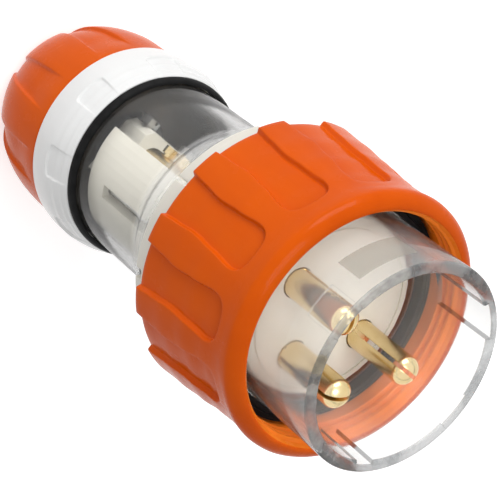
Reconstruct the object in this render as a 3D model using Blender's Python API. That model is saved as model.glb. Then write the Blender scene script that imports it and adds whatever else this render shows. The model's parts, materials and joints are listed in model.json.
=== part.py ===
"""Pin and sleeve plug with three round split pins.

The plug stands on the flat end of its gland nut with the pins up. Z is the plug's axis, X points to the
open wiring side of the terminal block, and the earth pin is at -X. Lengths are in metres.
"""

import math

import bmesh
import bpy
from mathutils import Matrix, Vector

MM = 0.001
DEG = math.pi / 180.0

# Clearance left between two pieces that seat on each other
GAP = 0.3 * MM
# Distance that a cutter runs past the face it opens
OVERRUN = 1.0 * MM

# Gland nut: a dome cut flat at the end, with flutes between broad lands that widen and run out at the rim
NUT_LENGTH = 37.7 * MM
NUT_RIM_INSET = 0.7 * MM
NUT_WALL = 6.8 * MM
NUT_END_WIDTH = 7.95 * MM
NUT_DOME_LENGTH = 33.0 * MM
NUT_DOME_POWER = 2.9
NUT_FLOOR = 8.4 * MM
NUT_HOLE_FLARE = 1.8 * MM
NUT_FLUTES = 8
NUT_FLUTE_DEPTH = 1.0 * MM
NUT_FLUTE_LENGTH = 36.0 * MM
NUT_FLUTE_RUN_OUT = 12.0 * MM
NUT_FLUTE_HALF = 5.8 * DEG
NUT_FLUTE_SPREAD = 4.2 * DEG
NUT_FLUTE_WALL = 2.0 * DEG
NUT_FLUTE_PHASE = 4.0 * DEG
NUT_THREAD_CLEARANCE = 0.3 * MM

# Rear collar, which screws on the clear body and carries the gland thread
COLLAR_LENGTH = 17.0 * MM
COLLAR_FRONT_WALL = 1.15 * MM
COLLAR_SWELL = 2.0 * MM
COLLAR_REAR_FALL = 0.4 * MM
COLLAR_WEB = 3.4 * MM
COLLAR_PANELS = 8
COLLAR_PANEL_LENGTH = 9.0 * MM
COLLAR_PANEL_DEPTH = 0.6 * MM
COLLAR_PANEL_HALF = 10.0 * DEG
COLLAR_PANEL_WALL = 1.0 * DEG
COLLAR_PANEL_PHASE = 34.5 * DEG
STUB_SETBACK = 2.9 * MM
STUB_WALL = 5.7 * MM
STUB_FLOOR = 7.0 * MM

# Cable entry: grommet, slip washer and the hole for the cable
CABLE_HOLE_R = 10.5 * MM
GROMMET_BORE_R = 8.0 * MM
WASHER_THICKNESS = 1.5 * MM
WASHER_RIM = 2.5 * MM

# Collar seal, a lipped rubber ring between the collar and the clear body
SEAL_SOCKET_DEPTH = 3.5 * MM
SEAL_WALL = 0.7 * MM
SEAL_LIP_LENGTH = 2.0 * MM

# Clear body, from the collar to the shroud's rim
NECK_WALL = 3.35 * MM
NECK_LENGTH = 34.25 * MM
SPIGOT_THREAD_STEP = 1.35 * MM
FLARE_LENGTH = 7.0 * MM
FLARE_STEP = 3.45 * MM
BARREL_LENGTH = 24.75 * MM
BEAD_HEIGHT = 0.9 * MM
BEAD_WIDTH = 1.5 * MM
WEB_SETBACK = 4.75 * MM
WEB_THICKNESS = 3.0 * MM
WEB_REACH = 2.2 * MM
FLANGE_STEP = 2.2 * MM
FLANGE_THICKNESS = 5.0 * MM
SEAT_THICKNESS = 3.3 * MM
SHROUD_STEP = 3.05 * MM
SHROUD_WALL = 3.3 * MM
SHROUD_REACH = 18.5 * MM
RIM_ROUND = 0.5 * MM

# Keyways inside the shroud: centre angle, width and depth
KEYWAYS = (
    (90.0 * DEG, 9.2 * MM, 0.7 * MM),
    (-90.0 * DEG, 9.2 * MM, 0.7 * MM),
    (-32.0 * DEG, 11.0 * MM, 1.5 * MM),
    (205.0 * DEG, 5.5 * MM, 1.2 * MM),
)

# Locking ring, with pockets that open at its rear edge and a thread inside its front
RING_LENGTH = 42.0 * MM
RING_REAR_WALL = 4.3 * MM
RING_SWELL = 0.2 * MM
RING_FRONT_WALL = 3.8 * MM
RING_LIP_RISE = 0.6 * MM
RING_LIP_LENGTH = 6.4 * MM
RING_POCKETS = 12
RING_POCKET_LENGTH = 33.0 * MM
RING_POCKET_DEPTH = 1.2 * MM
RING_POCKET_HALF = 8.9 * DEG
RING_POCKET_WAIST = 1.0 * DEG
RING_POCKET_SHOULDER = 27.0 * MM
RING_POCKET_WALL = 1.1 * DEG
RING_POCKET_PHASE = 2.25 * DEG
RING_SEAT_DEPTH = 8.0 * MM
THREAD_PITCH = 2.5 * MM
THREAD_HEIGHT = 1.1 * MM
THREAD_TURNS = 3.0
THREAD_SETBACK = 2.2 * MM

# Ring retainer, a split ring that holds the locking ring on the clear body
RETAINER_LENGTH = 15.7 * MM
RETAINER_WALL = 5.2 * MM
RETAINER_SPLIT = 1.4 * MM
RETAINER_SPLIT_ANGLE = 87.5 * DEG
RETAINER_NOTCHES = 4
RETAINER_NOTCH = 3.0 * MM

# Face seal round the root of the shroud
FACE_SEAL_OVERHANG = 0.6 * MM
FACE_SEAL_HEIGHT = 3.15 * MM
FACE_SEAL_PROUD = 1.25 * MM

# Pin carrier and terminal block, clamped on the web of the clear body
FACE_SETBACK = 12.5 * MM
FACE_GROOVE_DEPTH = 0.5 * MM
FACE_GROOVE_WIDTH = 1.2 * MM
FACE_GROOVE_EDGE = 2.0 * MM
CORE_R = 8.6 * MM
CORE_FLOOR = 7.5 * MM
BLOCK_FACE = 2.0 * MM
BLOCK_WALL = 2.8 * MM
BLOCK_CLEARANCE = 0.5 * MM
BLOCK_POCKET_TAIL = 6.0 * MM

# Pins, each one piece with its terminal barrel
PIN_CIRCLE_R = 15.2 * MM
PIN_R = 4.1 * MM
PIN_REACH = 22.0 * MM
PIN_DOME = 3.2 * MM
PIN_SLOT = 1.1 * MM
PIN_FLANGE_R = 5.5 * MM
PIN_FLANGE_THICKNESS = 2.0 * MM
BARREL_TERMINAL_R = 4.6 * MM
TERMINAL_REACH = 31.0 * MM
WIRE_BORE_R = 2.6 * MM
WIRE_BORE_DEPTH = 18.0 * MM
PINS = (
    ("active_pin", 90.0 * DEG, 25.0 * DEG),
    ("neutral_pin", -90.0 * DEG, 90.0 * DEG),
    ("earth_pin", 180.0 * DEG, 125.0 * DEG),
)

# Screws: shank radius, head radius, head height
TERMINAL_SCREW = (1.8 * MM, 2.5 * MM, 2.2 * MM)
CARRIER_SCREW = (1.6 * MM, 2.9 * MM, 2.5 * MM)
CLAMP_SCREW = (1.5 * MM, 2.7 * MM, 2.3 * MM)
TERMINAL_SCREW_PLACES = (5.0 * MM, 13.0 * MM)
TERMINAL_SCREW_TIP = 1.0 * MM
CARRIER_SCREW_ANGLES = (127.5 * DEG, 232.5 * DEG)
CARRIER_SCREW_CLEARANCE = 0.4 * MM
CARRIER_SCREW_GRIP = 10.0 * MM
CARRIER_SCREW_INSET = 4.0 * MM
SCREW_DRIVE_WIDTH = 0.9 * MM
SCREW_DRIVE_DEPTH = 1.0 * MM

# Cord clamp across the rear of the terminal block
CLAMP_SETBACK = 5.3 * MM
CLAMP_LENGTH = 11.0 * MM
CLAMP_CABLE_R = 6.0 * MM
CLAMP_BRIDGE = 2.0 * MM
CLAMP_SCREW_WALL = 1.4 * MM
CRADLE_DEPTH = 11.5 * MM
CLAMP_SCREW_GRIP = 8.0 * MM

# Facets round the turned pieces
BODY_SIDES = 40
SEAL_SIDES = 32
PIN_SIDES = 16
SCREW_SIDES = 8

# Radii that follow from the sizes above, from the terminals outwards
BLOCK_R = PIN_CIRCLE_R + BARREL_TERMINAL_R + GAP + BLOCK_WALL
NECK_BORE_R = BLOCK_R + BLOCK_CLEARANCE
NECK_R = NECK_BORE_R + NECK_WALL
SPIGOT_R = NECK_R - SPIGOT_THREAD_STEP
WEB_R = NECK_BORE_R - WEB_REACH
CARRIER_SCREW_CIRCLE = WEB_R - CARRIER_SCREW_CLEARANCE - CARRIER_SCREW[0]
BARREL_R = NECK_R + FLARE_STEP
FLANGE_R = BARREL_R + FLANGE_STEP
SHROUD_R = FLANGE_R - SHROUD_STEP
SHROUD_BORE_R = SHROUD_R - SHROUD_WALL
FACE_SEAL_R = FLANGE_R + FACE_SEAL_OVERHANG
RETAINER_BORE_R = BARREL_R + GAP
RETAINER_R = RETAINER_BORE_R + RETAINER_WALL
RING_SEAT_R = RETAINER_R + GAP
RING_BORE_R = FLANGE_R + GAP + THREAD_HEIGHT
RING_REAR_R = RING_SEAT_R + RING_REAR_WALL
RING_FRONT_R = RING_BORE_R + RING_FRONT_WALL
RING_LIP_R = RING_FRONT_R + RING_LIP_RISE
SEAL_SOCKET_R = NECK_R + GAP + SEAL_WALL + GAP
COLLAR_FRONT_R = SEAL_SOCKET_R + COLLAR_FRONT_WALL
COLLAR_R = COLLAR_FRONT_R + COLLAR_SWELL
COLLAR_REAR_R = COLLAR_R - COLLAR_REAR_FALL
NUT_RIM_R = COLLAR_REAR_R - NUT_RIM_INSET
NUT_END_R = CABLE_HOLE_R + NUT_HOLE_FLARE + NUT_END_WIDTH
NUT_BORE_R = NUT_RIM_R - NUT_WALL
STUB_R = NUT_BORE_R - NUT_THREAD_CLEARANCE
STUB_BORE_R = STUB_R - STUB_WALL
GROMMET_R = STUB_BORE_R - GAP
WASHER_R = GROMMET_R + WASHER_RIM
NUT_CAVITY_R = WASHER_R + GAP
CLAMP_HEIGHT = CLAMP_CABLE_R + CLAMP_BRIDGE
CLAMP_SCREW_OFFSET = CLAMP_CABLE_R + CLAMP_SCREW_WALL + GAP + CLAMP_SCREW[0]
CLAMP_HALF_WIDTH = CLAMP_SCREW_OFFSET + GAP + CLAMP_SCREW[1]

# Heights along the axis, from the nut's flat end upwards
Z_COLLAR = NUT_LENGTH + GAP
Z_COLLAR_FRONT = Z_COLLAR + COLLAR_LENGTH
Z_WASHER = NUT_FLOOR + GAP
Z_GROMMET = Z_WASHER + WASHER_THICKNESS + GAP
Z_STUB_END = Z_GROMMET + STUB_SETBACK
Z_GROMMET_SEAT = Z_COLLAR - STUB_FLOOR
Z_SPIGOT = Z_COLLAR + COLLAR_WEB + GAP
Z_SEAL_SOCKET = Z_COLLAR_FRONT - SEAL_SOCKET_DEPTH
Z_NECK = Z_SEAL_SOCKET + GAP
Z_FLARE = Z_COLLAR_FRONT + NECK_LENGTH
Z_BARREL = Z_FLARE + FLARE_LENGTH
Z_WEB = Z_BARREL + WEB_SETBACK
Z_FLANGE = Z_BARREL + BARREL_LENGTH
Z_RETAINER = Z_FLANGE - GAP - RETAINER_LENGTH
Z_RING = Z_FLANGE - RING_SEAT_DEPTH
Z_RING_FRONT = Z_RING + RING_LENGTH
Z_FACE = Z_RING_FRONT - FACE_SETBACK
Z_SEAL_SEAT = Z_FACE + FACE_SEAL_PROUD - FACE_SEAL_HEIGHT - GAP
Z_RIM = Z_RING_FRONT + SHROUD_REACH
Z_TERMINAL = Z_WEB - TERMINAL_REACH
Z_CLAMP = Z_SPIGOT + CLAMP_SETBACK
Z_BLOCK = Z_CLAMP + CLAMP_LENGTH


def clear_scene():
    for obj in list(bpy.data.objects):
        bpy.data.objects.remove(obj, do_unlink=True)


def material(name, colour, roughness, metallic=0.0, transmission=0.0):
    mat = bpy.data.materials.new(name)
    mat.use_nodes = True
    shader = mat.node_tree.nodes["Principled BSDF"]
    shader.inputs["Base Color"].default_value = (*colour, 1.0)
    shader.inputs["Roughness"].default_value = roughness
    shader.inputs["Metallic"].default_value = metallic
    shader.inputs["Transmission Weight"].default_value = transmission
    return mat


def add_object(name, bm, mat, location=(0.0, 0.0, 0.0), turn=None):
    """Store the finished mesh as one object, shaded smooth with its hard edges kept."""
    bmesh.ops.remove_doubles(bm, verts=bm.verts, dist=0.001 * MM)
    bmesh.ops.recalc_face_normals(bm, faces=bm.faces)
    if bm.calc_volume(signed=True) < 0.0:
        bmesh.ops.reverse_faces(bm, faces=bm.faces)
    mesh = bpy.data.meshes.new(name)
    bm.to_mesh(mesh)
    bm.free()
    mesh.shade_smooth()
    mesh.set_sharp_from_angle(angle=35.0 * DEG)
    obj = bpy.data.objects.new(name, mesh)
    if mat:
        mesh.materials.append(mat)
    if turn is not None:
        obj.rotation_euler = turn.to_euler()
    obj.location = location
    bpy.context.scene.collection.objects.link(obj)
    return obj


def turned(name, outline, sides, mat, location=(0.0, 0.0, 0.0), turn=None):
    """Spin a closed outline of (radius, height) points once round Z."""
    bm = bmesh.new()
    verts = [bm.verts.new((radius, 0.0, height)) for radius, height in outline]
    edges = []
    for start, end in zip(verts, verts[1:] + verts[:1]):
        on_axis = start.co.x == 0.0 and end.co.x == 0.0
        if not on_axis:
            edges.append(bm.edges.new((start, end)))
    bmesh.ops.spin(bm, geom=verts + edges, cent=(0, 0, 0), axis=(0, 0, 1),
                   angle=2.0 * math.pi, steps=sides, use_merge=True)
    return add_object(name, bm, mat, location, turn)


def extruded(name, outline, height, mat, location=(0.0, 0.0, 0.0), turn=None):
    """Raise a flat outline of (x, y) points along Z."""
    bm = bmesh.new()
    base = bm.faces.new([bm.verts.new((x, y, 0.0)) for x, y in outline])
    raised = bmesh.ops.extrude_face_region(bm, geom=[base])["geom"]
    top = [item for item in raised if isinstance(item, bmesh.types.BMVert)]
    bmesh.ops.translate(bm, verts=top, vec=(0.0, 0.0, height))
    return add_object(name, bm, mat, location, turn)


def lofted(name, sections, mat, looped=False, location=(0.0, 0.0, 0.0)):
    """Join equal closed sections in order; the ends meet each other or are capped."""
    bm = bmesh.new()
    rows = [[bm.verts.new(point) for point in section] for section in sections]
    pairs = list(zip(rows, rows[1:]))
    if looped:
        pairs.append((rows[-1], rows[0]))
    else:
        bm.faces.new(rows[0])
        bm.faces.new(rows[-1])
    for row, following in pairs:
        for index in range(len(row)):
            after = (index + 1) % len(row)
            bm.faces.new((row[index], row[after], following[after], following[index]))
    return add_object(name, bm, mat, location)


def cylinder_cutter(name, radius, bottom, top, place=(0.0, 0.0), sides=PIN_SIDES):
    outline = [(0.0, bottom), (radius, bottom), (radius, top), (0.0, top)]
    return turned(name, outline, sides, None, (place[0], place[1], 0.0))


def box_cutter(name, size, centre, turn=None):
    half = [length / 2.0 for length in size]
    outline = [(-half[0], -half[1]), (half[0], -half[1]), (half[0], half[1]), (-half[0], half[1])]
    lowest = Vector((0.0, 0.0, -half[2]))
    if turn is not None:
        lowest = turn @ lowest
    return extruded(name, outline, size[2], None, Vector(centre) + lowest, turn)


def combine(target, tool, operation):
    """Join or subtract a helper object, which is kept as a wire guide."""
    tool.hide_render = True
    tool.display_type = "WIRE"
    step = target.modifiers.new(tool.name, "BOOLEAN")
    step.operation = operation
    step.solver = "EXACT"
    step.object = tool


def carve(target, *cutters):
    for cutter in cutters:
        combine(target, cutter, "DIFFERENCE")


def polar(radius, angle):
    return radius * math.cos(angle), radius * math.sin(angle)


def about_z(angle):
    return Matrix.Rotation(angle, 3, "Z")


def pocket_station(angles, radius, depth, height):
    """One ring of points: pocket floors lie a depth inside the lands."""
    points = []
    for angle, on_floor in angles:
        reach = radius - depth if on_floor else radius
        points.append((*polar(reach, angle), height))
    return points


def pocket_angles(count, phase, half, wall, floor_steps, land_steps):
    """Angles round a ring of pockets, each with True where it lies on a pocket floor."""
    period = 2.0 * math.pi / count
    land = period - 2.0 * (half + wall)
    angles = []
    for index in range(count):
        centre = phase + index * period
        for step in range(floor_steps + 1):
            angles.append((centre - half + 2.0 * half * step / floor_steps, True))
        for step in range(land_steps + 1):
            angles.append((centre + half + wall + land * step / land_steps, False))
    return angles


def arc(centre_r, centre_z, radius, start, end, steps):
    """Points of a round edge in an outline, between two angles from the +radius direction."""
    points = []
    for step in range(steps + 1):
        angle = start + (end - start) * step / steps
        points.append((centre_r + radius * math.cos(angle), centre_z + radius * math.sin(angle)))
    return points


def nut_radius(height):
    """Outer radius of the nut's lands: a rim that falls away to the flat end."""
    if height >= NUT_DOME_LENGTH:
        return NUT_RIM_R
    fall = ((NUT_DOME_LENGTH - height) / NUT_DOME_LENGTH) ** NUT_DOME_POWER
    return NUT_RIM_R - (NUT_RIM_R - NUT_END_R) * fall


def make_gland_nut(mat):
    def angles(height):
        half = NUT_FLUTE_HALF + NUT_FLUTE_SPREAD * height / NUT_LENGTH
        return pocket_angles(NUT_FLUTES, NUT_FLUTE_PHASE, half, NUT_FLUTE_WALL, 2, 3)

    shares = (0.0, 0.05, 0.12, 0.22, 0.34, 0.48, 0.68, 1.0)
    heights = [share * NUT_FLUTE_LENGTH for share in shares] + [NUT_LENGTH]
    stations = []
    for height in heights:
        run_out = min(1.0, max(0.0, NUT_FLUTE_LENGTH - height) / NUT_FLUTE_RUN_OUT)
        stations.append(pocket_station(angles(height), nut_radius(height), NUT_FLUTE_DEPTH * run_out, height))
    bore_end = Z_STUB_END - 3.0 * GAP
    hole_end = NUT_HOLE_FLARE
    inside = [(NUT_BORE_R, NUT_LENGTH), (NUT_BORE_R, bore_end), (NUT_CAVITY_R, bore_end),
              (NUT_CAVITY_R, NUT_FLOOR), (CABLE_HOLE_R, NUT_FLOOR), (CABLE_HOLE_R, hole_end),
              (CABLE_HOLE_R + NUT_HOLE_FLARE, 0.0)]
    plain = angles(NUT_LENGTH)
    stations += [pocket_station(plain, radius, 0.0, z) for radius, z in inside]
    return lofted("gland_nut", stations, mat, looped=True)


def make_rear_collar(mat):
    angles = pocket_angles(COLLAR_PANELS, COLLAR_PANEL_PHASE, COLLAR_PANEL_HALF,
                           COLLAR_PANEL_WALL, 2, 2)
    panel_start = COLLAR_LENGTH - COLLAR_PANEL_LENGTH
    panel_wall = COLLAR_PANEL_DEPTH
    side = COLLAR_LENGTH - COLLAR_PANEL_DEPTH * 2.0
    front_slope = (COLLAR_R - COLLAR_FRONT_R) / (side - panel_start)
    outside = [(COLLAR_REAR_R - GAP, 0.0, 0.0), (COLLAR_REAR_R, GAP, 0.0),
               (COLLAR_R, COLLAR_LENGTH * 0.25, 0.0), (COLLAR_R, panel_start, 0.0)]
    for share in (0.0, 0.5, 1.0):
        along = panel_start + panel_wall + share * (side - panel_start - panel_wall)
        drop = front_slope * (along - panel_start) * (0.5 + 0.5 * share)
        outside.append((COLLAR_R - drop, along, COLLAR_PANEL_DEPTH))
    outside.append((COLLAR_FRONT_R - COLLAR_PANEL_DEPTH * 0.8, COLLAR_LENGTH, COLLAR_PANEL_DEPTH * 0.2))
    stations = [pocket_station(angles, radius, depth, z) for radius, z, depth in outside]
    socket = Z_SEAL_SOCKET - Z_COLLAR
    stub_end = Z_STUB_END - Z_COLLAR
    seat = Z_GROMMET_SEAT - Z_COLLAR
    hole = CABLE_HOLE_R + OVERRUN
    inside = [(SEAL_SOCKET_R, COLLAR_LENGTH), (SEAL_SOCKET_R, socket), (SPIGOT_R + GAP, socket),
              (SPIGOT_R + GAP, COLLAR_WEB), (hole, COLLAR_WEB), (hole, seat), (STUB_BORE_R, seat),
              (STUB_BORE_R, stub_end), (STUB_R, stub_end), (STUB_R, 0.0)]
    stations += [pocket_station(angles, radius, 0.0, z) for radius, z in inside]
    return lofted("rear_collar", stations, mat, looped=True, location=(0.0, 0.0, Z_COLLAR))


def make_cable_entry(rubber, steel):
    length = Z_GROMMET_SEAT - GAP - Z_GROMMET
    chamfer = 2.0 * MM
    outline = [(GROMMET_BORE_R, 0.0), (GROMMET_R - chamfer, 0.0), (GROMMET_R, chamfer),
               (GROMMET_R, length), (GROMMET_BORE_R, length)]
    grommet = turned("cable_grommet", outline, SEAL_SIDES, rubber, (0.0, 0.0, Z_GROMMET))
    outline = [(CABLE_HOLE_R, 0.0), (WASHER_R, 0.0), (WASHER_R, WASHER_THICKNESS),
               (CABLE_HOLE_R, WASHER_THICKNESS)]
    washer = turned("thrust_washer", outline, SEAL_SIDES, steel, (0.0, 0.0, Z_WASHER))
    return grommet, washer


def make_collar_seal(rubber):
    bore = NECK_R + GAP
    sleeve = bore + SEAL_WALL
    lip = Z_COLLAR_FRONT + GAP - Z_NECK
    lip_r = COLLAR_FRONT_R - COLLAR_PANEL_DEPTH * 0.8
    top = lip + SEAL_LIP_LENGTH
    outline = [(bore, 0.0), (sleeve, 0.0), (sleeve, lip), (lip_r, lip),
               (lip_r, lip + SEAL_LIP_LENGTH * 0.4), (bore + SEAL_WALL * 0.5, top), (bore, top)]
    return turned("collar_seal", outline, SEAL_SIDES, rubber, (0.0, 0.0, Z_NECK))


def clear_body_outline():
    """Outer side from the rear spigot to the rim, then the bore back to the spigot."""
    flare = []
    for step in range(1, 5):
        share = step / 4.0
        ease = share * share * (3.0 - 2.0 * share)
        flare.append((NECK_R + (BARREL_R - NECK_R) * ease, Z_FLARE + FLARE_LENGTH * share))
    bead_top = Z_RETAINER - GAP
    bead_r = BARREL_R + BEAD_HEIGHT
    flange_top = Z_FLANGE + FLANGE_THICKNESS
    outside = [(NECK_BORE_R, Z_SPIGOT), (SPIGOT_R, Z_SPIGOT), (SPIGOT_R, Z_NECK), (NECK_R, Z_NECK),
               (NECK_R, Z_FLARE), *flare, (BARREL_R, bead_top - BEAD_WIDTH),
               (bead_r, bead_top - BEAD_WIDTH * 0.4), (bead_r, bead_top), (BARREL_R, bead_top),
               (BARREL_R, Z_FLANGE), (FLANGE_R, Z_FLANGE), (FLANGE_R, flange_top),
               (BARREL_R, flange_top), (BARREL_R, Z_SEAL_SEAT - SEAT_THICKNESS),
               (FLANGE_R, Z_SEAL_SEAT - SEAT_THICKNESS), (FLANGE_R, Z_SEAL_SEAT),
               (SHROUD_R, Z_SEAL_SEAT)]
    rim = arc(SHROUD_R - RIM_ROUND, Z_RIM - RIM_ROUND, RIM_ROUND, 0.0, 90.0 * DEG, 2)
    rim += arc(SHROUD_BORE_R + RIM_ROUND, Z_RIM - RIM_ROUND, RIM_ROUND, 90.0 * DEG, 180.0 * DEG, 2)
    inside = [(SHROUD_BORE_R, Z_WEB), (WEB_R, Z_WEB), (WEB_R, Z_WEB - WEB_THICKNESS),
              (NECK_BORE_R, Z_WEB - WEB_THICKNESS)]
    return outside + rim + inside


def make_clear_body(mat):
    body = turned("clear_body", clear_body_outline(), BODY_SIDES, mat)
    bottom = Z_FACE - 4.0 * MM
    height = Z_RIM + OVERRUN - bottom
    for number, (angle, width, depth) in enumerate(KEYWAYS, start=1):
        inner = SHROUD_BORE_R * 0.7
        outer = SHROUD_BORE_R + depth
        x, y = polar((inner + outer) / 2.0, angle)
        size = (outer - inner, width, height)
        centre = (x, y, bottom + height / 2.0)
        carve(body, box_cutter(f"keyway_{number}_cutter", size, centre, about_z(angle)))
    return body


def ring_pocket_half(height):
    """Half angle of a pocket: narrow at the waist, with round corners at its closed front end."""
    if height <= RING_POCKET_SHOULDER:
        wave = math.cos(2.0 * math.pi * height / RING_POCKET_SHOULDER)
        return RING_POCKET_HALF + RING_POCKET_WAIST * wave
    past = (height - RING_POCKET_SHOULDER) / (RING_POCKET_LENGTH - RING_POCKET_SHOULDER)
    return (RING_POCKET_HALF + RING_POCKET_WAIST) * (1.0 - 0.55 * past ** 3)


def make_locking_ring(mat):
    def angles(half):
        return pocket_angles(RING_POCKETS, RING_POCKET_PHASE, half, RING_POCKET_WALL, 2, 1)

    def land_radius(height):
        share = height / RING_POCKET_LENGTH
        return RING_REAR_R - (RING_REAR_R - RING_FRONT_R) * share + RING_SWELL * math.sin(math.pi * share)

    rounding = RING_POCKET_LENGTH - RING_POCKET_SHOULDER
    heights = [share * RING_POCKET_SHOULDER for share in (0.0, 0.25, 0.5, 0.75, 1.0)]
    heights += [RING_POCKET_SHOULDER + share * rounding for share in (0.4, 0.75, 1.0)]
    stations = [pocket_station(angles(ring_pocket_half(height)), land_radius(height),
                               RING_POCKET_DEPTH, height) for height in heights]
    plain = angles(RING_POCKET_HALF)
    closing = RING_POCKET_LENGTH + RING_POCKET_DEPTH
    stations.append(pocket_station(angles(ring_pocket_half(RING_POCKET_LENGTH)), RING_FRONT_R, 0.0, closing))
    lip = RING_LENGTH - RING_LIP_LENGTH
    half_wall = (RING_LIP_R + RING_BORE_R) / 2.0
    outside = [(RING_FRONT_R, lip), (RING_LIP_R, lip + RING_LIP_LENGTH * 0.4),
               (RING_LIP_R - RING_LIP_LENGTH * 0.08, lip + RING_LIP_LENGTH * 0.7),
               (half_wall + RING_LIP_LENGTH * 0.16, lip + RING_LIP_LENGTH * 0.92),
               (half_wall, RING_LENGTH), (RING_BORE_R + GAP, RING_LENGTH)]
    seat = RING_SEAT_DEPTH
    inside = [(RING_BORE_R, RING_LENGTH - GAP), (RING_BORE_R, seat), (RING_SEAT_R, seat),
              (RING_SEAT_R, 0.0)]
    stations += [pocket_station(plain, radius, 0.0, z) for radius, z in outside + inside]
    ring = lofted("locking_ring", stations, mat, looped=True, location=(0.0, 0.0, Z_RING))
    combine(ring, make_ring_thread(), "UNION")
    return ring


def make_ring_thread():
    """Helical ridge inside the front of the locking ring, running out to nothing at both ends."""
    steps_per_turn = 20
    steps = round(THREAD_TURNS * steps_per_turn)
    run_out = steps_per_turn // 6
    root = RING_BORE_R + THREAD_HEIGHT * 0.4
    first = Z_RING_FRONT - THREAD_SETBACK - THREAD_TURNS * THREAD_PITCH
    foot = THREAD_PITCH * 0.36
    crown = THREAD_PITCH * 0.14
    sections = []
    for step in range(steps + 1):
        angle = 2.0 * math.pi * step / steps_per_turn
        height = first + THREAD_PITCH * step / steps_per_turn
        full = min(1.0, (step + 0.3) / run_out, (steps - step + 0.3) / run_out)
        crest = RING_BORE_R - THREAD_HEIGHT * full
        outline = [(root, -foot), (crest, -crown), (crest, crown), (root, foot)]
        sections.append([(*polar(radius, angle), height + rise) for radius, rise in outline])
    return lofted("ring_thread_guide", sections, None)


def make_ring_retainer(mat):
    edge = 0.6 * MM
    outline = [(RETAINER_BORE_R, 0.0), (RETAINER_R - edge, 0.0), (RETAINER_R, edge),
               (RETAINER_R, RETAINER_LENGTH), (RETAINER_BORE_R, RETAINER_LENGTH)]
    retainer = turned("ring_retainer", outline, BODY_SIDES, mat, (0.0, 0.0, Z_RETAINER))
    middle = (RETAINER_BORE_R + RETAINER_R) / 2.0
    reach = RETAINER_WALL + 2.0 * OVERRUN
    x, y = polar(middle, RETAINER_SPLIT_ANGLE)
    split_size = (reach, RETAINER_SPLIT, RETAINER_LENGTH + 2.0 * OVERRUN)
    centre = (x, y, Z_RETAINER + RETAINER_LENGTH / 2.0)
    carve(retainer, box_cutter("retainer_split_cutter", split_size, centre, about_z(RETAINER_SPLIT_ANGLE)))
    for number in range(RETAINER_NOTCHES):
        angle = RETAINER_SPLIT_ANGLE + (number + 0.5) * 2.0 * math.pi / RETAINER_NOTCHES
        x, y = polar(RETAINER_R, angle)
        size = (RETAINER_WALL, RETAINER_NOTCH, 2.0 * RETAINER_NOTCH)
        cutter = box_cutter(f"retainer_notch_{number + 1}_cutter", size, (x, y, Z_RETAINER), about_z(angle))
        carve(retainer, cutter)
    return retainer


def make_face_seal(rubber):
    bore = SHROUD_R + GAP
    rim = FACE_SEAL_R
    top = FACE_SEAL_HEIGHT
    groove = (bore + rim) / 2.0
    step = 0.35 * MM
    outline = [(bore, 0.0), (rim, 0.0), (rim, top - step), (groove + step, top - step),
               (groove, top - 2.0 * step), (groove - step, top), (bore, top)]
    return turned("face_seal", outline, SEAL_SIDES, rubber, (0.0, 0.0, Z_SEAL_SEAT + GAP))


def make_pin_carrier(mat):
    radius = SHROUD_BORE_R - GAP
    bottom = Z_WEB + GAP
    length = Z_FACE - bottom
    groove_out = radius - FACE_GROOVE_EDGE
    groove_in = groove_out - FACE_GROOVE_WIDTH
    edge = 0.5 * MM
    core_top = length - CORE_FLOOR
    outline = [(CORE_R, 0.0), (radius, 0.0), (radius, length - edge), (radius - edge, length),
               (groove_out, length), (groove_out, length - FACE_GROOVE_DEPTH),
               (groove_in, length - FACE_GROOVE_DEPTH), (groove_in, length), (0.0, length),
               (0.0, core_top), (CORE_R, core_top)]
    carrier = turned("pin_carrier", outline, BODY_SIDES, mat, (0.0, 0.0, bottom))
    hole_r = PIN_R + GAP
    counterbore_r = PIN_FLANGE_R + GAP
    counterbore_top = bottom + PIN_FLANGE_THICKNESS + GAP
    for name, angle, _slot in PINS:
        outline = [(0.0, bottom - OVERRUN), (counterbore_r, bottom - OVERRUN),
                   (counterbore_r, counterbore_top), (hole_r, counterbore_top),
                   (hole_r, Z_FACE + OVERRUN), (0.0, Z_FACE + OVERRUN)]
        place = (*polar(PIN_CIRCLE_R, angle), 0.0)
        carve(carrier, turned(f"{name}_hole_cutter", outline, PIN_SIDES, None, place))
    for number, angle in enumerate(CARRIER_SCREW_ANGLES, start=1):
        hole_top = bottom + CARRIER_SCREW_GRIP + OVERRUN
        place = polar(CARRIER_SCREW_CIRCLE, angle)
        carve(carrier, cylinder_cutter(f"carrier_screw_hole_{number}_cutter", CARRIER_SCREW[0] + GAP,
                                       bottom - OVERRUN, hole_top, place, SCREW_SIDES))
    return carrier


def d_outline(radius, face, steps):
    """Round outline with a flat on its +X side."""
    start = math.acos(face / radius)
    end = 2.0 * math.pi - start
    return [polar(radius, start + (end - start) * step / steps) for step in range(steps + 1)]


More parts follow.
